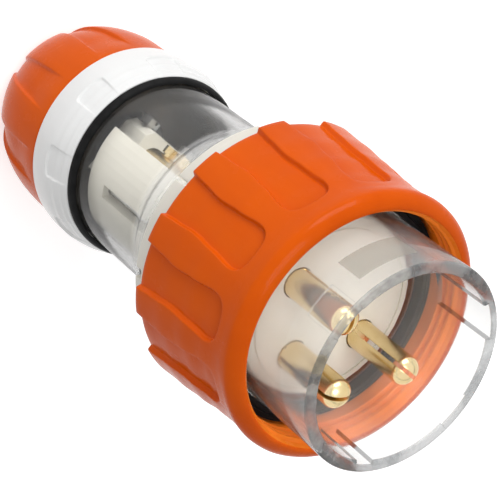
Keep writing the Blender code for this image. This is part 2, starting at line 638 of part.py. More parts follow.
def make_terminal_block(mat):
    radius = BLOCK_R
    shoulder = Z_WEB - WEB_THICKNESS - GAP
    block = extruded("terminal_block", d_outline(radius, BLOCK_FACE, 32), shoulder - Z_BLOCK, mat,
                     (0.0, 0.0, Z_BLOCK))
    nose_bottom = shoulder - OVERRUN
    nose = extruded("block_nose_guide", d_outline(WEB_R - GAP, BLOCK_FACE, 32), Z_WEB - nose_bottom,
                    None, (0.0, 0.0, nose_bottom))
    combine(block, nose, "UNION")
    parting = -GAP / 2.0
    cradle_size = (CRADLE_DEPTH, 2.0 * CLAMP_HALF_WIDTH, CLAMP_LENGTH + 2.0 * OVERRUN)
    cradle_centre = (parting - CRADLE_DEPTH / 2.0, 0.0, Z_CLAMP + cradle_size[2] / 2.0)
    combine(block, box_cutter("clamp_cradle_guide", cradle_size, cradle_centre), "UNION")
    trough = cylinder_cutter("cable_trough_cutter", CLAMP_CABLE_R, Z_CLAMP - OVERRUN,
                             Z_BLOCK + CLAMP_CABLE_R)
    carve(block, trough)
    pocket_bottom = Z_TERMINAL - BLOCK_POCKET_TAIL
    pocket_r = BARREL_TERMINAL_R + GAP
    for name, angle, _slot in PINS:
        place = polar(PIN_CIRCLE_R, angle)
        carve(block, cylinder_cutter(f"{name}_pocket_cutter", pocket_r, pocket_bottom,
                                     Z_WEB + OVERRUN, place))
        slot_top = Z_TERMINAL + WIRE_BORE_DEPTH
        reach = BLOCK_FACE + OVERRUN - place[0]
        size = (reach, 2.0 * (TERMINAL_SCREW[1] + GAP), slot_top - pocket_bottom)
        centre = (place[0] + reach / 2.0, place[1], (slot_top + pocket_bottom) / 2.0)
        carve(block, box_cutter(f"{name}_access_cutter", size, centre))
    head_seat = Z_BLOCK + CARRIER_SCREW_INSET + CARRIER_SCREW[2] + GAP
    for number, angle in enumerate(CARRIER_SCREW_ANGLES, start=1):
        place = polar(CARRIER_SCREW_CIRCLE, angle)
        shank_r = CARRIER_SCREW[0] + GAP
        head_r = CARRIER_SCREW[1] + GAP
        outline = [(0.0, Z_BLOCK - OVERRUN), (head_r, Z_BLOCK - OVERRUN), (head_r, head_seat),
                   (shank_r, head_seat), (shank_r, Z_WEB + OVERRUN), (0.0, Z_WEB + OVERRUN)]
        carve(block, turned(f"carrier_screw_way_{number}_cutter", outline, SCREW_SIDES, None,
                            (*place, 0.0)))
        groove_bottom = head_seat + OVERRUN
        groove_top = shoulder - OVERRUN * 3.0
        middle = polar(CARRIER_SCREW_CIRCLE + PIN_R, angle)
        size = (2.0 * PIN_R, 2.0 * shank_r, groove_top - groove_bottom)
        centre = (*middle, (groove_top + groove_bottom) / 2.0)
        carve(block, box_cutter(f"carrier_screw_groove_{number}_cutter", size, centre, about_z(angle)))
    for number, side in enumerate((1.0, -1.0), start=1):
        depth = CLAMP_SCREW_GRIP + OVERRUN
        size_r = CLAMP_SCREW[0] + GAP
        outline = [(0.0, -depth), (size_r, -depth), (size_r, OVERRUN), (0.0, OVERRUN)]
        place = (0.0, side * CLAMP_SCREW_OFFSET, Z_CLAMP + CLAMP_LENGTH / 2.0)
        carve(block, turned(f"clamp_hole_{number}_cutter", outline, SCREW_SIDES, None, place,
                            Matrix.Rotation(90.0 * DEG, 3, "Y")))
    return block


def make_pin(name, angle, slot_angle, mat):
    """Split contact pin, its flange and its terminal barrel, turned in one piece."""
    flange = Z_WEB + GAP - Z_TERMINAL
    flange_top = flange + PIN_FLANGE_THICKNESS
    tip = Z_FACE + PIN_REACH - Z_TERMINAL
    dome = tip - PIN_DOME
    outline = [(0.0, WIRE_BORE_DEPTH), (WIRE_BORE_R, WIRE_BORE_DEPTH), (WIRE_BORE_R, 0.0),
               (BARREL_TERMINAL_R, 0.0), (BARREL_TERMINAL_R, flange), (PIN_FLANGE_R, flange),
               (PIN_FLANGE_R, flange_top), (PIN_R, flange_top)]
    for step in range(5):
        turn = 90.0 * DEG * step / 4.0
        outline.append((PIN_R * math.cos(turn) if step < 4 else 0.0, dome + PIN_DOME * math.sin(turn)))
    place = (*polar(PIN_CIRCLE_R, angle), Z_TERMINAL)
    pin = turned(name, outline, PIN_SIDES, mat, place)
    slot_bottom = Z_FACE + GAP
    slot_height = PIN_REACH + OVERRUN
    size = (4.0 * PIN_R, PIN_SLOT, slot_height)
    centre = (place[0], place[1], slot_bottom + slot_height / 2.0)
    carve(pin, box_cutter(f"{name}_slot_cutter", size, centre, about_z(slot_angle)))
    for number, rise in enumerate(TERMINAL_SCREW_PLACES, start=1):
        hole_r = TERMINAL_SCREW[0] + GAP
        outline = [(0.0, 0.0), (hole_r, 0.0), (hole_r, BARREL_TERMINAL_R + OVERRUN),
                   (0.0, BARREL_TERMINAL_R + OVERRUN)]
        hole_place = (place[0], place[1], Z_TERMINAL + rise)
        carve(pin, turned(f"{name}_thread_{number}_cutter", outline, SCREW_SIDES, None, hole_place,
                          Matrix.Rotation(90.0 * DEG, 3, "Y")))
    return pin


def make_screw(name, sizes, shank, mat, location, turn=None):
    """Slotted cheese-head screw; the origin is under its head and the shank runs down -Z."""
    shank_r, head_r, head_height = sizes
    edge = shank_r * 0.3
    outline = [(0.0, -shank), (shank_r - edge, -shank), (shank_r, edge - shank), (shank_r, 0.0),
               (head_r, 0.0), (head_r, head_height), (0.0, head_height)]
    screw = turned(name, outline, SCREW_SIDES, mat, location, turn)
    size = (4.0 * head_r, SCREW_DRIVE_WIDTH, 2.0 * SCREW_DRIVE_DEPTH)
    top = Vector((0.0, 0.0, head_height))
    rotation = turn if turn is not None else Matrix.Identity(3)
    carve(screw, box_cutter(f"{name}_drive_cutter", size, Vector(location) + rotation @ top, rotation))
    return screw


def make_terminal_screws(mat):
    screws = []
    outwards = Matrix.Rotation(90.0 * DEG, 3, "Y")
    seat = BARREL_TERMINAL_R + GAP
    for name, angle, _slot in PINS:
        x, y = polar(PIN_CIRCLE_R, angle)
        for number, rise in enumerate(TERMINAL_SCREW_PLACES, start=1):
            title = name.replace("_pin", f"_terminal_screw_{number}")
            screws.append(make_screw(title, TERMINAL_SCREW, seat - TERMINAL_SCREW_TIP, mat,
                                     (x + seat, y, Z_TERMINAL + rise), outwards))
    return screws


def make_carrier_screws(mat):
    """Long screws whose heads seat in the block and whose tips grip the pin carrier."""
    screws = []
    down = Matrix.Rotation(180.0 * DEG, 3, "X")
    head_top = Z_BLOCK + CARRIER_SCREW_INSET + CARRIER_SCREW[2]
    shank = Z_WEB + GAP + CARRIER_SCREW_GRIP - head_top
    for number, angle in enumerate(CARRIER_SCREW_ANGLES, start=1):
        place = (*polar(CARRIER_SCREW_CIRCLE, angle), head_top)
        screws.append(make_screw(f"carrier_screw_{number}", CARRIER_SCREW, shank, mat, place, down))
    return screws


def make_cord_clamp(mat, steel):
    """Saddle over the cable, with one screw on each side of it."""
    low = GAP / 2.0
    high = CLAMP_HEIGHT
    shoulder = CLAMP_HEIGHT * 0.7
    mouth = math.acos(low / CLAMP_CABLE_R)
    top_half_width = CLAMP_HALF_WIDTH - (high - shoulder)
    outline = [(low, CLAMP_HALF_WIDTH), (shoulder, CLAMP_HALF_WIDTH), (high, top_half_width),
               (high, -top_half_width), (shoulder, -CLAMP_HALF_WIDTH), (low, -CLAMP_HALF_WIDTH)]
    for step in range(11):
        outline.append(polar(CLAMP_CABLE_R, -mouth + 2.0 * mouth * step / 10.0))
    clamp = extruded("cord_clamp", outline, CLAMP_LENGTH, mat, (0.0, 0.0, Z_CLAMP))
    pieces = [clamp]
    outwards = Matrix.Rotation(90.0 * DEG, 3, "Y")
    for number, side in enumerate((1.0, -1.0), start=1):
        place = Vector((0.0, side * CLAMP_SCREW_OFFSET, Z_CLAMP + CLAMP_LENGTH / 2.0))
        hole_r = CLAMP_SCREW[0] + GAP
        outline = [(0.0, -OVERRUN), (hole_r, -OVERRUN), (hole_r, high + OVERRUN), (0.0, high + OVERRUN)]
        carve(clamp, turned(f"clamp_way_{number}_cutter", outline, SCREW_SIDES, None, place, outwards))
        seat = place + Vector((high + GAP, 0.0, 0.0))
        pieces.append(make_screw(f"clamp_screw_{number}", CLAMP_SCREW, high + GAP + CLAMP_SCREW_GRIP,
                                 steel, seat, outwards))
    return pieces


def add_axis(name, height):
    axis = bpy.data.objects.new(name, None)
    axis.location = (0.0, 0.0, height)
    axis.empty_display_size = 10.0 * MM
    bpy.context.scene.collection.objects.link(axis)
    return axis


def attach(axis, pieces):
    for piece in pieces:
        piece.parent = axis
        piece.location = piece.location - axis.location


def main():
    clear_scene()
    orange = material("orange_moulding", (0.82, 0.16, 0.02), 0.30)
    white = material("white_moulding", (0.86, 0.86, 0.84), 0.22)
    cream = material("cream_moulding", (0.78, 0.74, 0.64), 0.42)
    clear = material("clear_polycarbonate", (0.93, 0.95, 0.95), 0.05, transmission=0.9)
    rubber = material("black_rubber", (0.02, 0.02, 0.02), 0.6)
    brass = material("brass", (0.72, 0.53, 0.24), 0.22, metallic=1.0)
    steel = material("zinc_plated_steel", (0.62, 0.62, 0.60), 0.3, metallic=1.0)

    fixed = [make_clear_body(clear), make_face_seal(rubber), make_pin_carrier(cream),
             make_terminal_block(cream), make_rear_collar(white), make_collar_seal(rubber)]
    fixed += [make_pin(name, angle, slot, brass) for name, angle, slot in PINS]
    fixed += make_terminal_screws(brass)
    fixed += make_carrier_screws(steel)
    fixed += make_cord_clamp(cream, steel)
    grommet, washer = make_cable_entry(rubber, steel)
    fixed.append(grommet)
    attach(add_axis("plug_axis", 0.0), fixed)
    attach(add_axis("ring_axis", Z_RING), [make_locking_ring(orange), make_ring_retainer(cream)])
    attach(add_axis("washer_axis", 0.0), [washer])
    attach(add_axis("nut_axis", 0.0), [make_gland_nut(orange)])


main()
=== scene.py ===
"""Looks of the pin and sleeve plug: fine forms, finishes, floor, studio light and camera.

Lengths in the forms are millimetres along the plug's axis (Z) and out from it, as in the solids.
"""

import json
import math

import bmesh
import bpy
from mathutils import Matrix, Vector


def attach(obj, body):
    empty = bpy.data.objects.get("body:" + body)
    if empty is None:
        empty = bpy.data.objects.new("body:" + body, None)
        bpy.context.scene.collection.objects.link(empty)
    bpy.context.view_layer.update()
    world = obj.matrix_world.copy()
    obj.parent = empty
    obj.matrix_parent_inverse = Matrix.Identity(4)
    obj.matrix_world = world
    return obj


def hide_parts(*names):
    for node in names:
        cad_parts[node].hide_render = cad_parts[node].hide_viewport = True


MM = 0.001
DEG = math.pi / 180.0
TAU = 2.0 * math.pi

# Heights shared with the solids
NUT_LENGTH = 37.7
Z_COLLAR = 38.0
Z_SPIGOT = 41.7
Z_FLARE = 89.25
Z_WEB = 101.0
Z_RETAINER = 105.0
Z_RETAINER_END = 120.7
Z_RING = 113.0
Z_FACE = 142.5
Z_RING_FRONT = 155.0
Z_RIM = 173.5
# Radii shared with the solids
NECK_R = 26.75
NECK_BORE_R = 23.4
BARREL_R = 30.2
FLANGE_R = 32.4
SHROUD_R = 29.35
SHROUD_BORE_R = 26.05
RIM_ROUND = 0.7
RIM_STEPS = 6
PIN_CIRCLE_R = 15.2
PIN_R = 4.1

# Locking ring: outside radius and a pocket's half width in degrees, by height over the rear edge
RING_SHAPE = ((0.0, 40.3), (9.0, 39.75), (18.5, 38.95), (27.0, 38.05), (33.0, 37.65), (36.0, 37.7),
              (38.3, 38.15))
POCKET_HALVES = ((0.0, 9.5), (6.0, 8.8), (13.0, 7.9), (20.0, 8.7), (28.0, 10.0))
POCKET_COUNT = 12
POCKET_DEPTH = 1.4
RING_SEAT_R = 36.0
RING_SEAT_DEPTH = 8.0
RING_BORE_R = 33.8
THREAD_PITCH = 2.5
THREAD_HEIGHT = 1.1
THREAD_TURNS = 3.0

# Collar: radius of its band and depth of its panels, by height over its rear edge
COLLAR_SHAPE = ((0.0, 30.65), (1.0, 30.95), (4.0, 31.2), (8.0, 31.15), (11.5, 30.6), (14.5, 29.7),
                (16.4, 28.95))
PANEL_DEPTHS = ((8.0, 0.65), (12.0, 0.5), (16.4, 0.15))
PANEL_COUNT = 8
BAND_REAR = 0.6
BAND_FRONT = 16.4
STUB_BORE_R = 17.3
STUB_THREAD_R = 23.0
# The collar's inside, seen through the neck and painted dark as shade, lies above this height and within
# this radius
Z_COLLAR_INSIDE = 41.2
COLLAR_INSIDE_R = 26.6

# Gland nut: dome, bore and flutes
NUT_R = 30.1
DOME_HEIGHT = 33.0
DOME_TAPER = 9.85
DOME_POWER = 2.9
NUT_BORE_R = 23.3
FLUTE_COUNT = 8
FLUTE_PITCH = 360.0 / FLUTE_COUNT
FLUTE_PHASE = 4.0
FLUTE_DEPTH = 1.05
FLUTE_END = 36.0
FLUTE_FADE = 12.0
# Rounded side of a flute: degrees from the floor's edge, share of the depth
FLUTE_WALL = ((0.0, 1.0), (0.35, 0.94), (0.7, 0.76), (1.05, 0.5), (1.4, 0.24), (1.75, 0.06), (2.1, 0.0))

# Keyways in the shroud: centre in degrees, width, depth and reach from the rim
KEYWAYS = (
    (90.0, 9.2, 0.7, 12.2),
    (-90.0, 9.2, 0.7, 17.2),
    (-32.0, 11.0, 1.5, 19.7),
    (205.0, 5.5, 1.2, 15.5),
)
# Zones of the clear moulding: painted shade darkens the neck below the first height, pale flare to the
# second, haze above the third
Z_NECK_SHADE_END = 88.0
Z_FLARE_END = 104.0
Z_HAZE = 130.0
# Bare panel on the shroud where a label would be: heights, and degrees round the axis
LABEL_HEIGHTS = (159.6, 168.2)
LABEL_ANGLES = (37.0, 71.0)
# Between the shroud's inner and outer walls
SHROUD_MIDDLE_R = 28.2

# Retainer: its split, and notches as the turn from it, size, radius and height of the centre
RETAINER_SPLIT = 87.5
RETAINER_BORE_R = 30.5
RETAINER_R = 35.7
RETAINER_NOTCHES = tuple((turn, (5.2, 3.0, 6.0), RETAINER_R, Z_RETAINER)
                         for turn in (45.0, 135.0, 225.0, 315.0))

# Pins: place on the circle and turn of the slot, in degrees
PINS = (("active_pin", 90.0, 25.0), ("neutral_pin", -90.0, 90.0), ("earth_pin", 180.0, 125.0))

# Camera fitted to the photograph
LENS = 123.07
CAMERA_PLACE = (-0.00327, 0.32792, 0.43105)
CAMERA_RIGHT = (0.6324, -0.5425, 0.5530)
CAMERA_UP = (0.7747, 0.4473, -0.4471)


def polar(radius, angle, height):
    return Vector((radius * math.cos(angle), radius * math.sin(angle), height)) * MM


# Meshes


def skin(bm, rows, looped=False):
    """Join closed rows of points, each the same length, into a tube."""
    made = [[bm.verts.new(point) for point in row] for row in rows]
    pairs = list(zip(made, made[1:]))
    if looped:
        pairs.append((made[-1], made[0]))
    for row, following in pairs:
        for index in range(len(row)):
            after = (index + 1) % len(row)
            bm.faces.new((row[index], row[after], following[after], following[index]))


def turned_rows(outline, angles):
    return [[polar(radius, angle, height) for angle in angles] for radius, height in outline]


def even_angles(count):
    return [TAU * index / count for index in range(count)]


def piece(name, bm, mat, body, *replaced, sharp=32.0):
    """Finish a mesh as one piece that rides on a body and stands for the solids it replaces."""
    bmesh.ops.remove_doubles(bm, verts=bm.verts, dist=0.002 * MM)
    bmesh.ops.recalc_face_normals(bm, faces=bm.faces)
    if bm.calc_volume(signed=True) < 0.0:
        bmesh.ops.reverse_faces(bm, faces=bm.faces)
    mesh = bpy.data.meshes.new(name)
    bm.to_mesh(mesh)
    bm.free()
    mesh.shade_smooth()
    mesh.set_sharp_from_angle(angle=sharp * DEG)
    mesh.materials.append(mat)
    obj = bpy.data.objects.new(name, mesh)
    bpy.context.scene.collection.objects.link(obj)
    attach(obj, body)
    if replaced:
        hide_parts(*replaced)
    return obj


def turned_piece(name, outline, mat, body, *replaced, sides=160):
    bm = bmesh.new()
    skin(bm, turned_rows(outline, even_angles(sides)), looped=True)
    return piece(name, bm, mat, body, *replaced)


def blend_table(table, value):
    """Smooth reading between the (place, value) pairs of a table."""
    if value <= table[0][0]:
        return table[0][1]
    for (low, start), (high, end) in zip(table, table[1:]):
        if value <= high:
            share = (value - low) / (high - low)
            share = share * share * (3.0 - 2.0 * share)
            return start + (end - start) * share
    return table[-1][1]


class PocketSkin:
    """Outer skin with a ring of rounded pockets that open at one edge.

    Half a sector is laid out flat as (sideways, height) points. Loops run along the pocket's outline:
    land outside it, a rounded wall across it and the floor inside it. Mirrored and turned copies of
    the half make the ring. The wall is listed as (millimetres inward, share of the depth).
    """

    WALL = ((-0.28, 0.0), (-0.1, 0.02), (0.04, 0.1), (0.18, 0.3), (0.32, 0.62), (0.47, 0.88), (0.7, 1.0))
    LANDS = 3
    FLOORS = 3
    SIDE_STEPS = 22
    CORNER_STEPS = 4

    def __init__(self, count, phase, radius, depth, half, opening, shoulder, end, far, power):
        self.count = count
        self.phase = phase
        self.radius = radius
        self.depth = depth
        self.half = half
        self.opening = opening
        self.shoulder = shoulder
        self.end = end
        self.far = far
        self.power = power
        self.limit = math.pi / count
        self.across = self.LANDS + len(self.WALL) - 1 + self.FLOORS

    def outline(self):
        """Half outline in millimetres (sideways, height) from the open edge to the middle of the end."""
        points = []
        for step in range(self.SIDE_STEPS):
            height = self.opening + (self.shoulder - self.opening) * step / self.SIDE_STEPS
            points.append((self.half(height) * self.radius(height), height))
        width = self.half(self.shoulder) * self.radius(self.shoulder)
        steps = self.CORNER_STEPS + self.across
        for step in range(steps + 1):
            turn = 0.5 * math.pi * step / steps
            along = (self.end - self.shoulder) * math.sin(turn) ** self.power
            points.append((width * max(math.cos(turn), 0.0) ** self.power, self.shoulder + along))
        return points

    def sector_rows(self):
        """Loops of (sideways, height, sink) points for half a sector, from the border to the spine."""
        outline = self.outline()
        flip = 1.0 if self.far > self.opening else -1.0
        inward = []
        for index in range(len(outline)):
            before = Vector(outline[max(index - 1, 0)])
            after = Vector(outline[min(index + 1, len(outline) - 1)])
            along = (after - before).normalized()
            normal = Vector((-along.y, along.x)) * flip
            if index == 0:
                normal = Vector((-1.0, 0.0))
            if index == len(outline) - 1:
                normal = Vector((0.0, -flip))
            inward.append(normal)
        border = []
        for index in range(len(outline)):
            past = index - self.SIDE_STEPS
            if past < 0:
                border.append((1.0, outline[index][1]))
            elif past <= self.CORNER_STEPS:
                share = past / self.CORNER_STEPS
                border.append((1.0, self.shoulder + (self.far - self.shoulder) * share))
            else:
                border.append((1.0 - (past - self.CORNER_STEPS) / self.across, self.far))
        spine_end = self.shoulder - (self.shoulder - self.opening) * 0.04
        loops = []
        for land in range(self.LANDS):
            share = (land / self.LANDS) ** 0.8
            loop = []
            for (side, height), normal, (edge, edge_height) in zip(outline, inward, border):
                inner = Vector((side, height)) + normal * self.WALL[0][0]
                outer = Vector((edge * self.limit * self.radius(edge_height), edge_height))
                loop.append((*outer.lerp(inner, share), 0.0))
            loops.append(loop)
        for offset, sink in self.WALL:
            loop = []
            for (side, height), normal in zip(outline, inward):
                place = Vector((side, height)) + normal * offset
                loop.append((place.x, place.y, sink))
            loops.append(loop)
        last = loops[-1]
        for floor in range(1, self.FLOORS + 1):
            share = floor / self.FLOORS
            loop = []
            for side, height, sink in last:
                over = (height - spine_end) * flip
                spine = height if over < 0.0 else spine_end + flip * over * 0.25
                loop.append((side * (1.0 - share), height + (spine - height) * share, sink))
            loops.append(loop)
        return loops

    def point(self, angle, height, sink):
        return polar(self.radius(height) - self.depth(height) * sink, self.phase + angle, height)

    def build(self, bm):
        """Add every sector; return the angles and radii along the open edge and along the far edge."""
        loops = self.sector_rows()
        for index in range(self.count):
            middle = index * 2.0 * self.limit
            for side in (1.0, -1.0):
                made = []
                for loop in loops:
                    made.append([bm.verts.new(self.point(middle + side * x / self.radius(z), z, sink))
                                 for x, z, sink in loop])
                for row, following in zip(made, made[1:]):
                    for step in range(len(row) - 1):
                        corners = (row[step], row[step + 1], following[step + 1], following[step])
                        bm.faces.new(corners)
        near, far = [], []
        half_near = [(loop[0][0] / self.radius(loop[0][1]), loop[0][2]) for loop in loops]
        half_far = [loops[0][step][0] / self.radius(self.far)
                    for step in range(self.SIDE_STEPS + self.CORNER_STEPS, len(loops[0]))]
        for index in range(self.count):
            middle = index * 2.0 * self.limit
            for angle, sink in half_near[:-1]:
                near.append((middle - angle, sink))
            for angle, sink in reversed(half_near[1:]):
                near.append((middle + angle, sink))
            for angle in half_far[:-1]:
                far.append(middle - angle)
            for angle in reversed(half_far[1:]):
                far.append(middle + angle)
        start = self.radius(self.opening)
        drop = self.depth(self.opening)
        near = [(self.phase + angle, start - drop * sink) for angle, sink in near]
        return near, [self.phase + angle for angle in far]


# Materials


class Finish:
    """A Principled material with its procedural textures."""

    def __init__(self, name, **values):
        self.material = bpy.data.materials.new(name)
        self.material.use_nodes = True
        self.nodes = self.material.node_tree.nodes
        self.links = self.material.node_tree.links
        self.shader = self.nodes["Principled BSDF"]
        for key, value in values.items():
            self.shader.inputs[key.replace("_", " ")].default_value = value

    def noise(self, scale, detail=3.0, roughness=0.55, stretch=(1.0, 1.0, 1.0)):
        """Noise laid out in the object's own coordinates."""
        place = self.nodes.new("ShaderNodeTexCoord")
        mapping = self.nodes.new("ShaderNodeMapping")
        mapping.inputs["Scale"].default_value = stretch
        texture = self.nodes.new("ShaderNodeTexNoise")
        texture.inputs["Scale"].default_value = scale
        texture.inputs["Detail"].default_value = detail
        texture.inputs["Roughness"].default_value = roughness
        self.links.new(place.outputs["Object"], mapping.inputs["Vector"])
        self.links.new(mapping.outputs["Vector"], texture.inputs["Vector"])
        return texture.outputs["Fac"]

    def ramp(self, source, *stops):
        """Turn a texture into a colour through (place, colour) stops."""
        ramp = self.nodes.new("ShaderNodeValToRGB")
        elements = ramp.color_ramp.elements
        while len(elements) < len(stops):
            elements.new(0.5)
        for element, (place, colour) in zip(elements, stops):
            element.position = place
            element.color = (*colour, 1.0)
        self.links.new(source, ramp.inputs["Fac"])
        return ramp.outputs["Color"]

    def colours(self, source, *stops):
        """Base colour from a texture."""
        self.links.new(self.ramp(source, *stops), self.shader.inputs["Base Color"])

    def facing_ramp(self, *stops):
        """Colour by how steeply the surface is seen: first stop face on, last stop on edge."""
        facing = self.nodes.new("ShaderNodeLayerWeight")
        facing.inputs["Blend"].default_value = 0.5
        return self.ramp(facing.outputs["Facing"], *stops)

    def math(self, operation, first, second=None):
        node = self.nodes.new("ShaderNodeMath")
        node.operation = operation
        for socket, value in zip(node.inputs, (first, second)):
            if value is None:
                continue
            if isinstance(value, float):
                socket.default_value = value
            else:
                self.links.new(value, socket)
        return node.outputs["Value"]

    def place(self):
        """Height, distance from the plug's axis and angle round it, from the object's own coordinates."""
        place = self.nodes.new("ShaderNodeTexCoord")
        split = self.nodes.new("ShaderNodeSeparateXYZ")
        self.links.new(place.outputs["Object"], split.inputs["Vector"])
        x, y, z = (split.outputs[axis] for axis in "XYZ")
        squares = self.math("ADD", self.math("MULTIPLY", x, x), self.math("MULTIPLY", y, y))
        return z, self.math("SQRT", squares), self.math("ARCTAN2", y, x)

    def above(self, source, limit, soft):
        """Zero below a limit, rising to one above it."""
        span = self.nodes.new("ShaderNodeMapRange")
        span.inputs["From Min"].default_value = limit - soft
        span.inputs["From Max"].default_value = limit + soft
        self.links.new(source, span.inputs["Value"])
        return span.outputs["Result"]

    def below(self, source, limit, soft):
        """One below a limit, falling to zero above it."""
        return self.math("SUBTRACT", 1.0, self.above(source, limit, soft))

    def within(self, source, low, high, soft):
        """One between two limits and zero outside them."""
        return self.math("SUBTRACT", self.above(source, low, soft), self.above(source, high, soft))

    def mix(self, factor, first, second, kind="MIX"):
        """Blend two colours, each a socket or a plain triple, by a socket or a plain number."""
        mix = self.nodes.new("ShaderNodeMix")
        mix.data_type = "RGBA"
        mix.blend_type = kind
        if isinstance(factor, float):
            mix.inputs["Factor"].default_value = factor
        else:
            self.links.new(factor, mix.inputs["Factor"])
        for name, value in (("A", first), ("B", second)):
            socket = next(s for s in mix.inputs if s.name == name and s.type == "RGBA")
            if isinstance(value, tuple):
                socket.default_value = (*value, 1.0)
            else:
                self.links.new(value, socket)
        return next(s for s in mix.outputs if s.type == "RGBA")

    def roughness(self, source, low, high):
        """Roughness between two levels, spread over the middle of a texture's range."""
        spread = self.nodes.new("ShaderNodeMapRange")
        spread.inputs["From Min"].default_value = 0.3
        spread.inputs["From Max"].default_value = 0.7
        spread.inputs["To Min"].default_value = low
        spread.inputs["To Max"].default_value = high
        self.links.new(source, spread.inputs["Value"])
        self.links.new(spread.outputs["Result"], self.shader.inputs["Roughness"])

    def bump(self, source, strength, distance, under=None):
        """Fine relief from a texture, on top of another relief if one is given."""
        relief = self.nodes.new("ShaderNodeBump")
        relief.inputs["Strength"].default_value = strength
        relief.inputs["Distance"].default_value = distance * MM
        self.links.new(source, relief.inputs["Height"])
        if under is not None:
            self.links.new(under, relief.inputs["Normal"])
        self.links.new(relief.outputs["Normal"], self.shader.inputs["Normal"])
        return relief.outputs["Normal"]


def moulded(name, light, dark, low, high, coat=0.0, shine=0.5, index=1.5):
    """Moulded plastic: faint flow marks in the colour, a fine grain and an uneven gloss."""
    finish = Finish(name, Coat_Weight=coat, Coat_Roughness=0.06, Specular_IOR_Level=shine, IOR=index)
    flow = finish.noise(55.0, 4.0, 0.5, (1.0, 1.0, 0.35))
    finish.colours(flow, (0.3, dark), (0.7, light))
    finish.roughness(finish.noise(160.0, 5.0, 0.6), low, high)
    ripple = finish.bump(finish.noise(90.0, 2.0), 0.12, 0.12)
    finish.bump(finish.noise(700.0, 3.0), 0.1, 0.03, ripple)
    return finish


def clear_plastic():
    """Clear moulding: painted shade greys it on edge and darkens the neck, for the reflection and shade seen
    in it; a faint haze forward, paler rim and flare.
    """
    finish = Finish("clear_polycarbonate", IOR=1.06, Coat_Weight=0.32, Coat_Roughness=0.02, Coat_IOR=1.5)
    height, distance, angle = finish.place()
    rim = finish.above(height, (Z_RIM - 0.65) * MM, 0.1 * MM)
    flare = finish.within(height, (Z_FLARE - 0.6) * MM, Z_FLARE_END * MM, 0.4 * MM)
    low, high = LABEL_HEIGHTS
    left, right = LABEL_ANGLES
    label = finish.math("MULTIPLY", finish.within(height, low * MM, high * MM, 0.15 * MM),
                        finish.within(angle, left * DEG, right * DEG, 0.3 * DEG))
    label = finish.math("MULTIPLY", label, finish.above(distance, SHROUD_MIDDLE_R * MM, 0.1 * MM))
    # Painted shade and reflection: the walls, rim and flare band grey towards their edges as seen, and the
    # neck is darker still
    walls = finish.facing_ramp((0.0, (0.985, 0.985, 0.98)), (0.45, (0.945, 0.945, 0.94)),
                               (0.78, (0.66, 0.665, 0.665)), (1.0, (0.12, 0.13, 0.135)))
    painted_neck_shade = finish.facing_ramp((0.0, (0.95, 0.95, 0.945)), (0.36, (0.80, 0.80, 0.79)),
                               (0.54, (0.58, 0.58, 0.57)), (0.82, (0.58, 0.585, 0.585)),
                               (1.0, (0.12, 0.13, 0.135)))
    mottle = finish.ramp(finish.noise(90.0, 4.0, 0.65), (0.38, (0.20, 0.21, 0.215)),
                         (0.62, (0.56, 0.57, 0.57)))
    edge = finish.facing_ramp((0.0, (1.0, 1.0, 1.0)), (0.7, (0.9, 0.9, 0.9)), (1.0, (0.3, 0.3, 0.3)))
    band = finish.facing_ramp((0.0, (0.95, 0.95, 0.94)), (0.6, (0.86, 0.86, 0.85)),
                              (1.0, (0.28, 0.29, 0.30)))
    colour = finish.mix(finish.above(height, Z_NECK_SHADE_END * MM, 1.0 * MM), painted_neck_shade, walls)
    colour = finish.mix(rim, colour, finish.mix(1.0, mottle, edge, "MULTIPLY"))
    colour = finish.mix(flare, colour, band)
    colour = finish.mix(label, colour, (0.50, 0.48, 0.43))
    # Painted shade: dark lines along the keyways' edges in the bore
    colour = finish.mix(keyway_edges(finish, height, distance, angle), colour, (0.22, 0.22, 0.22))
    finish.links.new(colour, finish.shader.inputs["Base Color"])
    hazy = finish.math("MULTIPLY", finish.above(height, Z_HAZE * MM, 10.0 * MM), 0.06)
    for part, amount in ((rim, 0.30), (flare, 0.24), (label, 0.30)):
        hazy = finish.math("ADD", hazy, finish.math("MULTIPLY", part, amount))
    finish.links.new(finish.math("SUBTRACT", 0.975, hazy), finish.shader.inputs["Transmission Weight"])
    finish.roughness(finish.noise(220.0, 4.0), 0.1, 0.25)
    finish.bump(finish.noise(70.0, 2.0), 0.05, 0.1)
    return finish.material


def keyway_edges(finish, height, distance, angle):
    """One on the thin lines where the keyways' sides meet the bore of the shroud; painted shade darkens
    them.
    """
    lines = None
    inside = finish.below(distance, SHROUD_MIDDLE_R * MM, 0.1 * MM)
    for middle, width, _depth, reach in KEYWAYS:
        half = math.degrees(width / 2.0 / SHROUD_BORE_R)
        span = finish.above(height, (Z_RIM - reach) * MM, 0.1 * MM)
        for edge in (middle - half, middle + half):
            edge = (edge + 180.0) % 360.0 - 180.0
            line = finish.within(angle, (edge - 0.16) * DEG, (edge + 0.16) * DEG, 0.08 * DEG)
            line = finish.math("MULTIPLY", line, span)
            lines = line if lines is None else finish.math("MAXIMUM", lines, line)
    return finish.math("MULTIPLY", lines, inside)


def repaint(finish, where, colour):
    """Blend another colour over a finish's own."""
    base = finish.shader.inputs["Base Color"]
    finish.links.new(finish.mix(where, base.links[0].from_socket, colour), base)


def white_plastic():
    """White moulding of the collar, with painted shade: near black on the surfaces that only its inside
    shows.
    """
    finish = moulded("collar_moulding", (0.83, 0.835, 0.83), (0.78, 0.785, 0.78), 0.14, 0.24,
                     coat=0.15, shine=0.3)
    height, distance, _angle = finish.place()
    # Painted shade: the collar's white inside is painted near black brown, for the shade deep in the plug
    inside = finish.math("MULTIPLY", finish.above(height, Z_COLLAR_INSIDE * MM, 0.1 * MM),
                         finish.below(distance, COLLAR_INSIDE_R * MM, 0.1 * MM))
    repaint(finish, inside, finish.ramp(finish.noise(45.0, 3.0, 0.6), (0.35, (0.016, 0.013, 0.010)),
                                        (0.65, (0.10, 0.074, 0.048))))
    return finish.material


